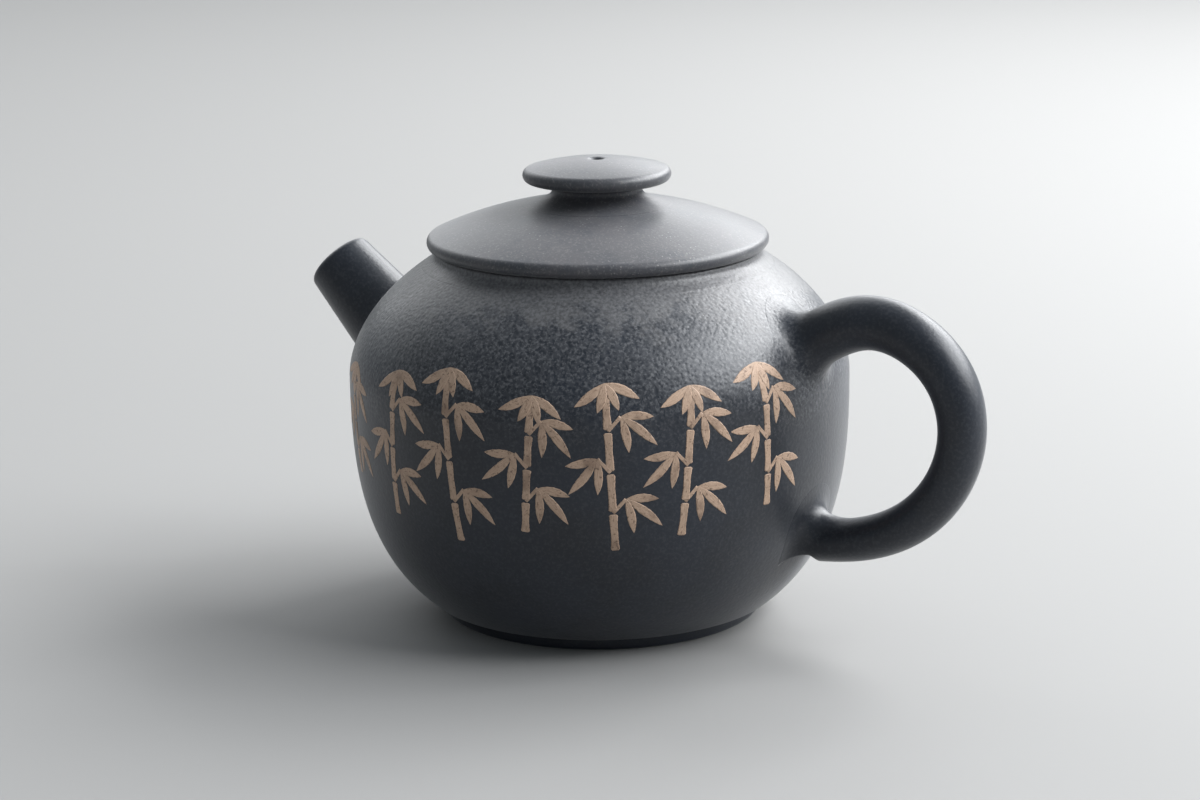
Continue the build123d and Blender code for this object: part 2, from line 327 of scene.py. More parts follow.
def turned(name, outline, columns=256, shift=None, slots=None):
    """Piece turned about Z: each point (radius, z) of the closed outline becomes a ring."""
    azimuth = np.arange(columns) * TAU / columns
    radius, z = outline[:, 0][:, None], outline[:, 1][:, None]
    if shift is not None:
        radius = radius + shift(azimuth[None, :], z) * (radius > 1)
    points = np.stack([radius * np.cos(azimuth), radius * np.sin(azimuth), z + 0 * azimuth], -1)
    quads = grid_quads(len(outline), columns, wrap_rows=True)
    per_row = None if slots is None else np.repeat(slots, columns)
    return make_mesh(name, points, quads, slots=per_row)


def place(piece, body, slot, nodes, *materials):
    """The piece rides on its body, stands for its nodes and gets its materials."""
    for material in materials:
        piece.data.materials.append(material)
    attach(piece, body)
    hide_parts(*nodes)
    return piece


# ---------------------------------------------------------------- pot

def wall_outline():
    """Outer belly up to the shoulder, the mouth, and the inner belly down to the base."""
    s = (1 - np.cos(np.linspace(0, math.pi, 150))) / 2
    low = FOOT_TOP + 0.5
    z = low + (SHOULDER_TOP - low) * s
    outer = np.stack([belly_radius(z), z], -1)
    inner_top = shoulder_height(MOUTH_RADIUS, WALL)
    z = inner_top + (BASE_TOP - inner_top) * s[::2]
    inner = np.stack([belly_radius(z, WALL), z], -1)
    lower_edge = arc((BASE_RADIUS + 1.2, FOOT_TOP), (BELLY_FOOT, FOOT_TOP + 0.12), outer[0], 8)
    top = np.array([(28.0, SHOULDER_TOP), (MOUTH_RADIUS, SHOULDER_TOP)])
    socket = np.array([(BASE_RADIUS, BASE_TOP), (BASE_RADIUS, FOOT_TOP)])
    outline = np.concatenate([outer, top, inner, socket, lower_edge[:-1]])
    inside = np.zeros(len(outline), int)
    inside[len(outer) : len(outer) + len(top) + len(inner)] = 1
    return outline, inside


def luted_tube(root, tube, fillet):
    """Where a tube leaves the belly, and the ring on the belly where its fillet ends.

    tube is an array (along, round, 3) that starts inside the belly; root is its centreline.
    Each line along it crosses the belly at one point. The fillet's ring lies the fillet's
    length away from that point, straight away from the middle of the root; the length is one
    number, or one for each line. The last result is where on each line, counted in rings, the
    tube takes over from the fillet."""
    fillet = np.broadcast_to(fillet, tube.shape[1:2])
    first = np.argmax(belly_gap(tube) > 0, axis=0)
    column = np.arange(tube.shape[1])
    outside = belly_gap(tube[first, column])
    inside = belly_gap(tube[first - 1, column])
    share = (inside / (inside - outside))[:, None]
    crossing = tube[first - 1, column] * (1 - share) + tube[first, column] * share
    centre = root[first - 1] * (1 - share) + root[first] * share
    normal = belly_normal(crossing)
    spread = crossing - centre
    spread -= normal * np.sum(spread * normal, -1, keepdims=True)
    spread /= np.linalg.norm(spread, axis=-1, keepdims=True)
    hem = [
        pull_to_belly(crossing + spread * (fillet + more)[:, None], lift)
        for more, lift in HEM_STEPS
    ]
    middle = crossing.mean(0)
    under = middle - belly_normal(middle) * HEM_DEPTH
    hem.append(np.repeat(under[None], tube.shape[1], 0))
    step = np.linalg.norm(np.diff(tube, axis=0), axis=-1).mean(0)
    return crossing, hem, first - 1 + share[:, 0] + fillet / step


def line_at(tube, position):
    """Points of each line of the tube at fractional positions (rows, round)."""
    low = np.clip(np.floor(position).astype(int), 0, len(tube) - 2)
    share = (position - low)[..., None]
    column = np.arange(tube.shape[1])[None, :]
    return tube[low, column] * (1 - share) + tube[low + 1, column] * share


def fillet_rings(on_tube, crossing, on_wall, count=13):
    """Cubic from the tube to the wall, which leaves the tube towards the crossing and reaches
    the wall along the wall: (1-s)^3 a + 3 s (1-s)^2 b + 3 s^2 (1-s) c + s^3 d."""
    s = np.linspace(0, 1, count)[:, None, None]
    normal = belly_normal(on_wall)
    back = crossing - on_wall
    back = back - normal * np.sum(back * normal, -1, keepdims=True)
    near_tube = on_tube + (crossing - on_tube) * 2 / 3
    near_wall = on_wall + back * 2 / 3
    tube_side = (1 - s) ** 3 * on_tube + 3 * s * (1 - s) ** 2 * near_tube
    return tube_side + 3 * s**2 * (1 - s) * near_wall + s**3 * on_wall


def distance_along(rings, hem):
    """How far each ring is from ring number hem, as a length along the piece; 0 before it."""
    step = np.linalg.norm(np.diff(rings, axis=0), axis=-1).mean(1)
    travelled = np.concatenate([[0], np.cumsum(step)])
    return np.clip(travelled - travelled[hem], 0, None)


def root_uv(away, around):
    """UV of a luted tube: U is the distance from its root in millimetres, V is not used."""
    return np.stack([np.repeat(away, around), np.zeros(len(away) * around)], -1)


def make_handle(around=96, along=520):
    """Ear handle: ellipses along a spline in the XZ plane, eased onto the belly at both ends.
    The fillet is longest above the upper root and inside the loop at the lower one."""
    line, tangent = cubic_line(HANDLE_LINE, along)
    t = np.linspace(0, 1, along)[:, None]
    first, second = np.clip(t / 0.5, 0, 1), np.clip((t - 0.5) / 0.5, 0, 1)
    inplane = HANDLE_TOP_HALF + (HANDLE_SIDE_HALF - HANDLE_TOP_HALF) * first
    inplane = inplane + (HANDLE_END_HALF - HANDLE_SIDE_HALF) * second
    across = HANDLE_TOP_LATERAL + (HANDLE_END_LATERAL - HANDLE_TOP_LATERAL) * t
    angle = np.arange(around)[None, :] * TAU / around
    x = line[:, :1] - tangent[:, 1:] * inplane * np.sin(angle)
    z = line[:, 1:] + tangent[:, :1] * inplane * np.sin(angle)
    tube = np.stack([x, across * np.cos(angle), z], -1)
    root = np.stack([line[:, 0], 0 * line[:, 0], line[:, 1]], -1)
    upward = np.sin(angle[0])
    upper_fillet = HANDLE_FILLET + HANDLE_UPPER_EASE * np.clip(upward, 0, 1) ** 2
    lower_fillet = HANDLE_FILLET + HANDLE_LOWER_EASE * np.clip(-upward, 0, 1) ** 1.5
    lower_fillet += HANDLE_UNDER_EASE * np.clip(upward, 0, 1) ** 2
    crossing_a, hem_a, start_a = luted_tube(root, tube, upper_fillet)
    crossing_b, hem_b, start_b = luted_tube(root[::-1], tube[::-1], lower_fillet)
    rows = np.linspace(0, 1, 150)[:, None]
    body = line_at(tube, start_a + (along - 1 - start_b - start_a) * rows)
    upper = fillet_rings(body[0], crossing_a, hem_a[0])[1:-1][::-1]
    lower = fillet_rings(body[-1], crossing_b, hem_b[0])[1:-1]
    points = np.stack([*hem_a[::-1], *upper, *body, *lower, *hem_b])
    away = np.minimum(distance_along(points, 3), distance_along(points[::-1], 3)[::-1])
    return make_mesh("ear_handle", points, grid_quads(len(points), around), root_uv(away, around))


def make_spout(around=96):
    """Straight tapered tube with a rounded lip, eased onto the belly, with its bore inside."""
    out = np.array([-math.cos(SPOUT_RISE), 0, math.sin(SPOUT_RISE)])
    level = np.array([0.0, 1.0, 0.0])
    up = np.cross(level, out) * -1
    angle = np.arange(around) * TAU / around
    spoke = np.cos(angle)[:, None] * level + np.sin(angle)[:, None] * up

    def ring(radius, depth):
        depth = np.broadcast_to(depth, (around,))[:, None]
        return TIP - out * depth + spoke * radius

    depth = np.linspace(SPOUT_LENGTH, 1.0, 300)
    swell = SPOUT_SWELL * np.clip(depth - SPOUT_SWELL_START, 0, None) ** 2
    radius = TIP_RADIUS + (depth - 1.0) * SPOUT_TAPER + swell
    tube = np.stack([ring(r, d) for r, d in zip(radius, depth)])
    root = TIP - out * depth[:, None]
    crossing, hem, start = luted_tube(root, tube, SPOUT_FILLET)
    rows = np.linspace(0, 1, 60)[:, None]
    side = line_at(tube, start + (len(tube) - 1 - start) * rows)
    fillet = fillet_rings(side[0], crossing, hem[0])[1:-1][::-1]
    lip = arc((TIP_RADIUS, 1.0), (TIP_RADIUS - 0.95, 0.0), (SPOUT_BORE, SPOUT_LIP), 14)[1:]
    lip_rings = [ring(r, d) for r, d in lip]
    under = pull_to_belly(crossing - 0.3 * (crossing - crossing.mean(0)), -0.5)
    bore_foot = np.sum((TIP - under) * out, -1)
    share = np.linspace(0, 1, 24)[1:]
    inner = [ring(SPOUT_BORE, SPOUT_LIP + (bore_foot - SPOUT_LIP) * s) for s in share]
    points = np.stack([*hem[:3][::-1], *fillet, *side, *lip_rings, *inner])
    quads = grid_quads(len(points), around, wrap_rows=True)
    return make_mesh("pouring_spout", points, quads, root_uv(distance_along(points, 2), around))


def foot_outline():
    """Low ring with eased edges."""
    corners = [
        (FOOT_INNER, 0), (FOOT_OUTER, 0), (FOOT_OUTER, FOOT_TOP), (FOOT_INNER, FOOT_TOP)
    ]
    return dense(rounded(corners, [0.5, 0.7, 0.15, 0.1]), 1.0)


def slab_outline():
    """Plain disc let into the bottom of the wall."""
    corners = [(0, FOOT_TOP), (BASE_RADIUS, FOOT_TOP), (BASE_RADIUS, BASE_TOP), (0, BASE_TOP)]
    return dense(np.array(corners, float), 1.5)


def collar_outline():
    """Low collar with a rounded rim, which flows out onto the shoulder."""
    bore = [(MOUTH_RADIUS + 0.05, COLLAR_FOOT), (MOUTH_RADIUS, COLLAR_FOOT + 0.3)]
    inner_edge = arc(
        (MOUTH_RADIUS, NECK_TOP - 0.5), (MOUTH_RADIUS + 0.15, NECK_TOP - 0.15),
        (MOUTH_RADIUS + 0.5, NECK_TOP), 6,
    )
    outer_edge = arc(
        (NECK_RADIUS - 0.9, NECK_TOP), (NECK_RADIUS - 0.4, NECK_TOP - 0.14),
        (NECK_RADIUS - 0.22, NECK_TOP - 0.5), 8,
    )
    flow = bezier(
        (NECK_RADIUS - 0.2, NECK_TOP - 0.7), (NECK_RADIUS - 0.1, NECK_TOP - 1.5),
        (COLLAR_HEM, shoulder_height(COLLAR_HEM) + 0.03), 14,
    )
    hem = [
        (COLLAR_HEM + 0.25, shoulder_height(COLLAR_HEM + 0.25) - 0.03),
        (COLLAR_HEM + 0.2, COLLAR_FOOT),
    ]
    return dense(np.concatenate([bore, inner_edge, outer_edge, flow, hem]), 0.8)


# ---------------------------------------------------------------- lid

def dome_line():
    """Arc of the lid's top from its rim to the flat under the knob."""
    return arc(LID_RIM_TOP, LID_DOME_MIDDLE, (CROWN_RADIUS, LID_CROWN), 60)


def lid_outline():
    """Dome that runs into a round rim without a break, over a hollow underside."""
    rim = arc(LID_RIM_FOOT, LID_RIM_OUT, LID_RIM_TOP, 30)
    dome = dome_line()
    crown = straight((CROWN_RADIUS, LID_CROWN), (VENT_RADIUS + 0.3, LID_CROWN), 8)
    vent = np.array([(VENT_RADIUS, LID_CROWN - 0.2), (VENT_RADIUS, LID_HOLLOW_TOP + 0.2)])
    vent_foot = (VENT_RADIUS + 0.2, LID_HOLLOW_TOP)
    hollow = arc(vent_foot, LID_HOLLOW_MIDDLE, (FLANGE_INNER, LID_SEAT), 40)
    seat_radii = (FLANGE_INNER + 1, FLANGE_OUTER + 0.5, LID_RIM_FOOT[0] - 0.4)
    seat = np.array([(radius, LID_SEAT) for radius in seat_radii])
    return np.concatenate([rim[:-1], dome, crown, vent, hollow, seat])


def knob_outline():
    """Flared foot, waist and thick disc with a gently crowned top, all in one flowing line."""
    more, lift = np.array(HEM_STEPS[::-1]).T
    radius = KNOB_HEM + more
    height = np.interp(radius, *dome_line()[::-1].T) + lift
    hem = np.stack([radius, height], -1)
    flare = bezier(hem[-1], KNOB_FLARE_PULL, KNOB_WAIST, 30)[1:]
    under = bezier(KNOB_WAIST, KNOB_UNDER_PULL, KNOB_UNDER, 22)
    edge = arc(KNOB_UNDER, KNOB_EDGE, KNOB_SHOULDER, 30)
    top = arc(KNOB_SHOULDER, KNOB_TOP_MIDDLE, (KNOB_DIMPLE, KNOB_TOP), 30)
    vent_top = (VENT_RADIUS, KNOB_TOP - 0.7)
    vent = bezier((KNOB_DIMPLE, KNOB_TOP), (VENT_RADIUS, KNOB_TOP), vent_top, 7)
    core = straight(vent_top, (VENT_RADIUS, LID_CROWN - 0.55), 8)
    return np.concatenate([hem, flare, under[1:], edge[1:], top[1:], vent[1:], core])


def flange_outline():
    """Ring under the lid that drops into the mouth."""
    corners = [
        (FLANGE_INNER, FLANGE_FOOT), (FLANGE_OUTER, FLANGE_FOOT),
        (FLANGE_OUTER, LID_SEAT), (FLANGE_INNER, LID_SEAT),
    ]
    return dense(rounded(corners, [0.7, 0.7, 0.05, 0.05]), 0.8)


# ---------------------------------------------------------------- inlay

def stroke_rings(place_point, line, half, seed):
    """Rings of one inlaid stroke: across it, a strip that lies on the belly; under it, two
    corners let into the wall. half is its half width along line, and its two edges are ragged
    by a product of two waves."""
    count = len(line)
    tangent = np.gradient(line, axis=0)
    tangent /= np.linalg.norm(tangent, axis=1, keepdims=True)
    side = np.stack([-tangent[:, 1], tangent[:, 0]], -1)
    t = np.linspace(0, 1, count)
    length = np.linalg.norm(np.diff(line, axis=0), axis=1).sum()
    run = t * length
    ragged = [
        1 + STROKE_ROUGH * np.sin(seed + k + run * 5.1) * np.sin(2.3 * seed + run * (2.9 + k))
        for k in (0, 1)
    ]
    across = np.linspace(-1, 1, 9)
    width = np.where(across[None, :] < 0, ragged[0][:, None], ragged[1][:, None]) * half[:, None]
    flat = line[:, None] + side[:, None] * (across[None, :] * width)[..., None]
    top = place_point(flat, INLAY_PROUD)
    bottom = place_point(flat[:, [8, 0]], -INLAY_SUNK)
    rings = np.concatenate([top, bottom], 1)
    across = np.append(across, [1, -1]) * 0.5
    uv_along = np.repeat(run[:, None], len(across), 1)
    uv_across = np.repeat(across[None, :], count, 0)
    return rings, np.stack([uv_along + 7.3 * seed, uv_across + 3.1 * seed], -1)


def capped(rings, uv):
    """The stroke's rings with its two ends closed to a point."""
    first, last = rings[:1].mean(1, keepdims=True), rings[-1:].mean(1, keepdims=True)
    around = rings.shape[1]
    rings = np.concatenate([np.repeat(first, around, 1), rings, np.repeat(last, around, 1)])
    return rings, np.concatenate([uv[:1], uv, uv[-1:]])


def turn(points, degrees):
    """Flat points turned about the origin."""
    a = math.radians(degrees)
    return points @ np.array([[math.cos(a), math.sin(a)], [-math.sin(a), math.cos(a)]])


def leaf_stroke(start, angle, length):
    """Leaf: its half width is the height of an arc from stem to point, and its middle bows."""
    s = (1 - np.cos(np.linspace(0, math.pi, 34))) / 2
    edge = arc((0, 0), (LEAF_WIDEST * length, LEAF_HALF_WIDTH), (length, 0), 60)
    x = length * s
    half = np.interp(x, edge[:, 0], edge[:, 1])
    bow = LEAF_BOW * length * np.sin(math.pi * s)
    return turn(np.stack([x, bow], -1), angle) + start, np.maximum(half, 0.02)


def stalk_stroke(low, high, lean):
    """One length of stalk, a little wider at both ends."""
    y = np.linspace(low, high, 26)
    s = np.abs(2 * (y - low) / (high - low) - 1)
    half = STALK_WAIST + (STALK_HALF_WIDTH - STALK_WAIST) * s**2
    half *= np.clip((1 - s) * 12, 0, 1) ** 0.4 * 0.35 + 0.65
    return turn(np.stack([0 * y, y], -1), lean), half


def twig_stroke(start, angle):
    """Thin straight twig from a joint."""
    x = np.linspace(0, TWIG_LENGTH, 12)
    return turn(np.stack([x, 0 * x], -1), angle) + start, TWIG_HALF_WIDTH * np.ones(12)


def joint_strokes(joint, bud, leaf_turn):
    """Twig and leaves at one joint: a drooping crown at the top, else a spray to one side."""
    x, y = bud
    if joint == JOINTS_PER_STALK:
        start = np.array([x, y + TOP_BUD])
        return [leaf_stroke(start, angle + leaf_turn, length) for angle, length in TOP_LEAVES]
    right = joint % 2 == 1
    rise = TWIG_RISE if right else 180 - TWIG_RISE
    a = math.radians(rise)
    tip = np.array([x + TWIG_LENGTH * math.cos(a), y + TWIG_LENGTH * math.sin(a)])
    strokes = [twig_stroke(np.array(bud), rise)]
    for angle, length in SIDE_LEAVES:
        strokes.append(leaf_stroke(tip, (angle if right else 180 - angle) + leaf_turn, length))
    return strokes


def make_inlay(index):
    """All the strokes of one bamboo stalk, laid on the belly."""
    foot, top, lean = STALK_FOOT[index], STALK_TOP[index], STALK_LEAN[index]
    middle = (foot + top) / 2
    azimuth = math.radians(STALK_AZIMUTHS[index])

    def place_point(flat, lift):
        z = middle + flat[..., 1]
        return on_belly(azimuth + np.arcsin(flat[..., 0] / belly_radius(z)), z, lift)

    step = (top - foot) / JOINTS_PER_STALK
    strokes = []
    for joint in range(1, JOINTS_PER_STALK + 1):
        height = foot - middle + joint * step
        strokes.append(stalk_stroke(height - step, height - JOINT_GAP, lean))
        rise = height - JOINT_GAP / 2
        bud = (-rise * math.sin(math.radians(lean)), rise * math.cos(math.radians(lean)))
        strokes += joint_strokes(joint, bud, LEAF_TURN * ((2 * index + 3 * joint) % 3 - 1))
    points, quads, uvs = [], [], []
    first = 0
    for number, (line, half) in enumerate(strokes):
        rings, uv = stroke_rings(place_point, line, half, 1.7 * number + 5 * index)
        lift = belly_normal(rings) * (STROKE_STEP * (number % 7))
        rings, uv = capped(rings + lift, uv)
        points.append(rings.reshape(-1, 3))
        uvs.append(uv.reshape(-1, 2))
        quads.append(grid_quads(len(rings), rings.shape[1], first=first))
        first += len(points[-1])
    name = f"bamboo_inlay_{index + 1}"
    return make_mesh(name, np.concatenate(points), np.concatenate(quads), np.concatenate(uvs))


# ---------------------------------------------------------------- materials

# Heights, in metres, between which the pebbles thicken and the painted neck light sets in: a pale
# band painted where the collar faces up to the light.
PEBBLE_LOW, PEBBLE_HIGH = 0.034, 0.054
PAINTED_LIGHT_LOW, PAINTED_LIGHT_HIGH = 0.0562, 0.0602
# Distances from its root, in millimetres, over which a luted piece turns smooth.
ROOT_NEAR, ROOT_FAR = 0.5, 7.0


class Nodes:
    """Short names for building one material's node tree."""

    def __init__(self, name):
        self.material = bpy.data.materials.new(name)
        self.material.use_nodes = True
        self.tree = self.material.node_tree
        self.shader = self.tree.nodes["Principled BSDF"]
        self.object = self.add("ShaderNodeTexCoord").outputs["Object"]

    def add(self, kind, **settings):
        """New node of this kind."""
        node = self.tree.nodes.new(kind)
        for key, value in settings.items():
            setattr(node, key, value)
        return node

    def link(self, source, target):
        self.tree.links.new(source, target)

    def put(self, socket, value):
        """Links a socket to the input, or sets the input to a plain value."""
        if isinstance(value, bpy.types.NodeSocket):
            self.link(value, socket)
        else:
            socket.default_value = value

    def noise(self, scale, detail=3.0, rough=0.5, vector=None):
        """Clouds or grain with about scale spots to the metre, from 0 to 1."""
        node = self.add("ShaderNodeTexNoise")
        self.link(vector or self.object, node.inputs["Vector"])
        node.inputs["Scale"].default_value = scale
        node.inputs["Detail"].default_value = detail
        node.inputs["Roughness"].default_value = rough
        return node.outputs["Fac"]

    def cells(self, scale, feature="F1"):
        """Distance from the middle of the nearest of scattered cells, scale to the metre."""
        node = self.add("ShaderNodeTexVoronoi", feature=feature)
        self.link(self.object, node.inputs["Vector"])
        node.inputs["Scale"].default_value = scale
        return node.outputs["Distance"]

    def ramp(self, value, low, high, to_low=0.0, to_high=1.0):
        """Value taken from low to high smoothly onto to_low to to_high, and held beyond."""
        node = self.add("ShaderNodeMapRange", interpolation_type="SMOOTHSTEP")
        self.put(node.inputs["Value"], value)
        limits = {"From Min": low, "From Max": high, "To Min": to_low, "To Max": to_high}
        for key, number in limits.items():
            node.inputs[key].default_value = number
        return node.outputs["Result"]

    def math(self, operation, a, b=0.0):
        node = self.add("ShaderNodeMath", operation=operation)
        self.put(node.inputs[0], a)
        self.put(node.inputs[1], b)
        return node.outputs[0]

    def mix(self, share, a, b):
        """Color a where share is 0 and color b where it is 1."""
        node = self.add("ShaderNodeMix", data_type="RGBA")
        self.put(node.inputs["Factor"], share)
        self.put(node.inputs["A"], (*a, 1) if isinstance(a, tuple) else a)
        self.put(node.inputs["B"], (*b, 1) if isinstance(b, tuple) else b)
        return node.outputs["Result"]

    def height(self):
        """Height over the table, in metres."""
        node = self.add("ShaderNodeSeparateXYZ")
        self.link(self.object, node.inputs[0])
        return node.outputs["Z"]

    def from_root(self):
        """Distance from the root of a luted piece, in millimetres."""
        node = self.add("ShaderNodeSeparateXYZ")
        self.link(self.add("ShaderNodeUVMap", uv_map="along").outputs["UV"], node.inputs[0])
        return node.outputs["X"]

    def bump(self, value, distance, strength, after=None):
        """Surface raised where value is high, on top of the bump given as after."""
        node = self.add("ShaderNodeBump")
        self.link(value, node.inputs["Height"])
        node.inputs["Distance"].default_value = distance
        node.inputs["Strength"].default_value = strength
        if after is not None:
            self.link(after, node.inputs["Normal"])
        return node.outputs["Normal"]

    def finish(self, color, roughness, normal, specular, sheen=0.0):
        """The material, with its color, roughness, bump, gloss and soft sheen."""
        self.put(self.shader.inputs["Base Color"], color)
        self.put(self.shader.inputs["Roughness"], roughness)
        self.put(self.shader.inputs["Normal"], normal)
        self.shader.inputs["Specular IOR Level"].default_value = specular
        self.shader.inputs["Sheen Weight"].default_value = sheen
        self.shader.inputs["Sheen Roughness"].default_value = 0.45
        return self.material


def burnished_clay(name, dark, pale):
    """Dark clay rubbed to a satin, with faint clouds and a fine even grain."""
    n = Nodes(name)
    cloud = n.noise(55, 4, 0.6)
    grain = n.noise(2300, 2, 0.6)
    color = n.mix(n.ramp(cloud, 0.35, 0.7), dark, tuple(1.6 * c for c in dark))
    color = n.mix(n.ramp(grain, 0.58, 0.75, 0, 0.3), color, pale)
    normal = n.bump(n.noise(420, 3), 0.00005, 0.5)
    normal = n.bump(grain, 0.000025, 0.5, normal)
    return n.finish(color, n.ramp(cloud, 0.3, 0.7, 0.33, 0.41), normal, 0.5, 0.2)


def pebbled_clay_painted_light(name, dark, pale, painted_neck_light_color, luted=False):
    """The same clay with the pebbles the kiln gave it, half a millimetre across, thick on the
    shoulder and thin below, and painted light round the neck: a pale band with a broken edge
    where the upward-facing collar catches the light. On a luted piece the pebbles and the painted
    light fade out with the distance from its root."""
    n = Nodes(name)
    cloud = n.noise(55, 4, 0.6)
    patch = n.noise(130, 4, 0.65)
    pebble = n.cells(1500, "SMOOTH_F1")
    fleck = n.noise(1900, 3, 0.65)
    crumbs = n.noise(460, 4, 0.7)
    height = n.math("ADD", n.height(), n.ramp(patch, 0.25, 0.75, -0.0035, 0.0035))
    shoulder = n.ramp(height, PEBBLE_LOW, PEBBLE_HIGH)
    broken = n.math("ADD", height, n.ramp(crumbs, 0.25, 0.75, -0.0016, 0.0016))
    # Painted light: a pale band round the neck, where the upward-facing collar catches the light.
    # The same band also roughens the surface a little.
    painted_neck_light = n.ramp(broken, PAINTED_LIGHT_LOW, PAINTED_LIGHT_HIGH)
    if luted:
        near = n.ramp(n.from_root(), ROOT_NEAR, ROOT_FAR, 1, 0)
        shoulder = n.math("MULTIPLY", shoulder, near)
        painted_neck_light = n.math("MULTIPLY", painted_neck_light, near)
    color = n.mix(n.ramp(cloud, 0.35, 0.7), dark, tuple(1.6 * c for c in dark))
    # Painted light: the pale neck band is mixed into the colour, speckled by the flecks.
    color = n.mix(n.math("MULTIPLY", painted_neck_light, n.ramp(fleck, 0.3, 0.7, 0.35, 0.95)), color, painted_neck_light_color)
    amount = n.math("MULTIPLY", n.ramp(fleck, 0.46, 0.66), n.ramp(shoulder, 0, 1, 0.12, 0.75))
    color = n.mix(amount, color, pale)
    ring = n.math("MULTIPLY", n.ramp(pebble, 0.25, 0.55), shoulder)
    color = n.mix(n.math("MULTIPLY", ring, 0.22), color, pale)
    roughness = n.math("ADD", n.ramp(cloud, 0.3, 0.7, 0.34, 0.42), n.math("MULTIPLY", painted_neck_light, 0.08))
    height_of_pebbles = n.math("MULTIPLY", pebble, n.ramp(shoulder, 0, 1, 0.35, 1.0))
    normal = n.bump(height_of_pebbles, 0.00009, 0.7)
    normal = n.bump(fleck, 0.00003, 0.5, normal)
    return n.finish(color, roughness, normal, 0.5, 0.2)


def lid_clay(name, dark, pale):
    """Slate clay, clouded a little warmer and cooler, with fine sand in it."""
    n = Nodes(name)
    cloud = n.noise(48, 4, 0.6)
    grain = n.noise(2300, 3, 0.65)
    gathered = n.ramp(n.noise(110, 2), 0.42, 0.62)
    sand = n.math("MULTIPLY", n.ramp(n.cells(1150), 0.08, 0.2, 1, 0), gathered)
    warm = (1.9 * dark[0], 1.7 * dark[1], 1.6 * dark[2])
    cool = (0.7 * dark[0], 0.8 * dark[1], 0.95 * dark[2])
    color = n.mix(n.ramp(cloud, 0.35, 0.68), dark, warm)
    color = n.mix(n.ramp(n.noise(165, 5, 0.7), 0.46, 0.66, 0, 0.5), color, cool)
    color = n.mix(n.ramp(grain, 0.5, 0.72, 0, 0.3), color, pale)
    color = n.mix(n.math("MULTIPLY", sand, 0.6), color, pale)
    normal = n.bump(n.noise(500, 3), 0.00005, 0.5)
    normal = n.bump(grain, 0.00003, 0.5, normal)
    normal = n.bump(sand, 0.00005, 0.6, normal)
    return n.finish(color, n.ramp(cloud, 0.3, 0.7, 0.38, 0.46), normal, 0.55, 0.2)


def bare_clay(name, dark, pale):
    """Unburnished clay inside the pot, with the turning lines of its making."""
    n = Nodes(name)
    grain = n.noise(1500, 4, 0.7)
    stretch = n.add("ShaderNodeMapping")
    stretch.inputs["Scale"].default_value = (20, 20, 900)
    n.link(n.object, stretch.inputs["Vector"])
    lines = n.noise(1.0, 2, 0.5, vector=stretch.outputs["Vector"])
    color = n.mix(n.ramp(grain, 0.35, 0.75), dark, pale)
    normal = n.bump(lines, 0.00015, 0.5)
    normal = n.bump(grain, 0.00006, 0.6, normal)
    return n.finish(color, n.ramp(grain, 0.3, 0.7, 0.6, 0.78), normal, 0.35)


def inlay_clay(name, deep, buff, pale):
    """Buff clay laid by brush: each stroke streaked along its length, pitted, and darker in
    patches and along some of its streaks."""
    n = Nodes(name)
    uv = n.add("ShaderNodeUVMap", uv_map="along").outputs["UV"]
    stretch = n.add("ShaderNodeMapping")
    stretch.inputs["Scale"].default_value = (0.7, 11.0, 1.0)
    n.link(uv, stretch.inputs["Vector"])
    streaks = n.noise(1.5, 4, 0.65, vector=stretch.outputs["Vector"])
    pits = n.noise(2100, 3, 0.6)
    patches = n.noise(210, 3, 0.6)
    color = n.mix(n.ramp(streaks, 0.3, 0.68), buff, pale)
    color = n.mix(n.ramp(patches, 0.48, 0.72, 0, 0.5), color, deep)
    color = n.mix(n.ramp(streaks, 0.42, 0.3, 0, 0.55), color, deep)
    color = n.mix(n.ramp(pits, 0.56, 0.68, 0, 0.7), color, deep)
    normal = n.bump(streaks, 0.00005, 0.5)
    normal = n.bump(pits, 0.00006, 0.6, normal)
    return n.finish(color, n.ramp(streaks, 0.3, 0.7, 0.46, 0.58), normal, 0.4)


# ---------------------------------------------------------------- assembly

NIGHT = (0.0068, 0.0098, 0.0163)
FLECK = (0.125, 0.128, 0.138)
# Pale colour of the painted light round the neck.
PAINTED_NECK_LIGHT = (0.125, 0.122, 0.123)
foot_clay = burnished_clay("burnished_clay", NIGHT, (0.08, 0.083, 0.09))
wall_clay = pebbled_clay_painted_light("pebbled_clay_painted_light", NIGHT, FLECK, PAINTED_NECK_LIGHT)
luted_clay = pebbled_clay_painted_light("luted_clay", NIGHT, FLECK, PAINTED_NECK_LIGHT, luted=True)
cover_clay = lid_clay("lid_clay", (0.034, 0.037, 0.044), (0.26, 0.255, 0.25))
inner_clay = bare_clay("bare_clay", (0.050, 0.045, 0.042), (0.12, 0.108, 0.10))
buff_clay = inlay_clay(
    "buff_clay", (0.11, 0.068, 0.048), (0.40, 0.262, 0.182), (0.56, 0.405, 0.30)
)

outline, inside = wall_outline()
wall = turned("belly_wall", outline, 288, wobble, inside)
place(wall, "pot", "dark_clay", ["body_wall"], wall_clay, inner_clay)
place(turned("turned_foot", foot_outline()), "pot", "dark_clay", ["foot_ring"], foot_clay)
place(turned("base_slab", slab_outline()), "pot", "dark_clay", ["base_disc"], inner_clay)
place(turned("mouth_collar", collar_outline()), "pot", "dark_clay", ["neck_ring"], wall_clay)
place(make_spout(), "pot", "dark_clay", ["spout"], luted_clay)
place(make_handle(), "pot", "dark_clay", ["handle"], luted_clay)
for index in range(len(STALK_AZIMUTHS)):
    place(make_inlay(index), "pot", "inlay_clay", [f"inlay_bamboo_{index + 1}"], buff_clay)

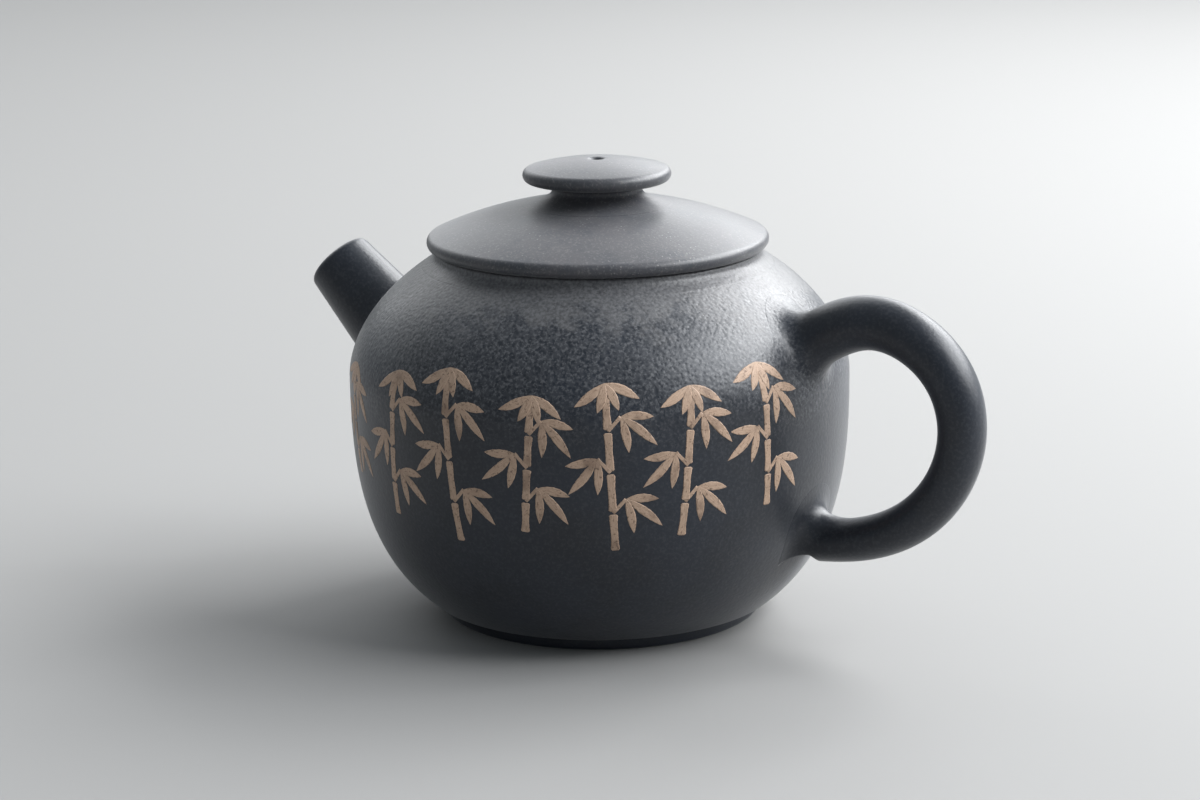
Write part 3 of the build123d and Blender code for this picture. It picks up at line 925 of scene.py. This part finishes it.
place(turned("lid_dome", lid_outline()), "lid", "lid_clay", ["lid_plate"], cover_clay)
place(turned("lid_collar", flange_outline()), "lid", "lid_clay", ["lid_flange"], inner_clay)
place(turned("disc_knob", knob_outline()), "lid", "lid_clay", ["lid_knob"], cover_clay)

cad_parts["strainer"].data.materials.clear()
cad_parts["strainer"].data.materials.append(inner_clay)


# ---------------------------------------------------------------- camera, floor and light

CAMERA_AZIMUTH = math.radians(31.0)
CAMERA_ELEVATION = math.radians(13.25)
CAMERA_DISTANCE = 0.550
AIM_HEIGHT = 0.043
LENS = 93.55
TILT_DOWN = math.radians(0.59)
ROLL = math.radians(-0.8)
FLOOR_REACH = 6.0


def make_camera():
    """Long-lens camera in front of the pot and to its handle side, a little above it."""
    data = bpy.data.cameras.new("camera")
    data.lens = LENS
    data.sensor_width = 36
    data.clip_start, data.clip_end = 0.01, 20
    camera = bpy.data.objects.new("camera", data)
    bpy.context.scene.collection.objects.link(camera)
    back = Vector((
        math.sin(CAMERA_AZIMUTH) * math.cos(CAMERA_ELEVATION),
        -math.cos(CAMERA_AZIMUTH) * math.cos(CAMERA_ELEVATION),
        math.sin(CAMERA_ELEVATION),
    ))
    turn_to = (-back).to_track_quat("-Z", "Y").to_matrix().to_4x4()
    tilt = Matrix.Rotation(-TILT_DOWN, 4, "X") @ Matrix.Rotation(ROLL, 4, "Z")
    stand = Matrix.Translation(Vector((0, 0, AIM_HEIGHT)) + back * CAMERA_DISTANCE)
    camera.matrix_world = stand @ turn_to @ tilt
    bpy.context.scene.camera = camera


def make_floor():
    """Plain pale floor, wide enough to fill the view."""
    mesh = bpy.data.meshes.new("floor")
    r = FLOOR_REACH
    mesh.from_pydata([(-r, -r, 0), (r, -r, 0), (r, r, 0), (-r, r, 0)], [], [(0, 1, 2, 3)])
    floor = bpy.data.objects.new("floor", mesh)
    bpy.context.scene.collection.objects.link(floor)
    n = Nodes("pale_floor")
    grain = n.bump(n.noise(300, 3), 0.0001, 0.2)
    floor.data.materials.append(n.finish((0.31, 0.307, 0.303, 1), 0.75, grain, 0.2))


def soft_light(name, azimuth, elevation, distance, size, power, color=(1, 1, 1)):
    """Square soft light aimed at the pot. Azimuth is measured as the camera's is."""
    data = bpy.data.lights.new(name, "AREA")
    data.shape = "RECTANGLE"
    data.size, data.size_y = size
    data.energy = power
    data.color = color
    light = bpy.data.objects.new(name, data)
    bpy.context.scene.collection.objects.link(light)
    a, e = math.radians(azimuth), math.radians(elevation)
    back = Vector((math.sin(a) * math.cos(e), -math.cos(a) * math.cos(e), math.sin(e)))
    light.location = Vector((0, 0, 0.04)) + back * distance
    light.rotation_mode = "QUATERNION"
    light.rotation_quaternion = back.to_track_quat("Z", "Y")


def make_world():
    """Soft even surroundings."""
    world = bpy.data.worlds.new("surroundings")
    bpy.context.scene.world = world
    world.use_nodes = True
    background = world.node_tree.nodes["Background"]
    background.inputs["Color"].default_value = (0.85, 0.935, 1.0, 1)
    background.inputs["Strength"].default_value = 0.31


make_camera()
make_floor()
make_world()
# Azimuths run like the camera's: 31 is the camera's own, 121 its right, 211 straight behind.
soft_light("window_front", 106, 40, 1.1, (0.7, 0.6), 12.0, (0.96, 0.98, 1.0))
soft_light("window_side", 121, 20, 1.1, (0.6, 0.5), 3.0, (0.96, 0.98, 1.0))
soft_light("window_main", 151, 36, 1.0, (0.7, 0.6), 13.5, (0.98, 0.99, 1.0))
soft_light("window_behind", 176, 33, 1.0, (0.6, 0.5), 2.2, (0.98, 0.99, 1.0))
soft_light("window_low", 191, 22, 1.2, (0.7, 0.4), 2.6, (0.98, 0.99, 1.0))
soft_light("pale_wall", 211, 35, 1.5, (2.2, 1.4), 11.5, (0.98, 0.99, 1.0))
soft_light("far_wall", 251, 30, 1.5, (1.2, 1.0), 2.0, (0.98, 0.99, 1.0))
bpy.context.scene.view_settings.view_transform = "Standard"
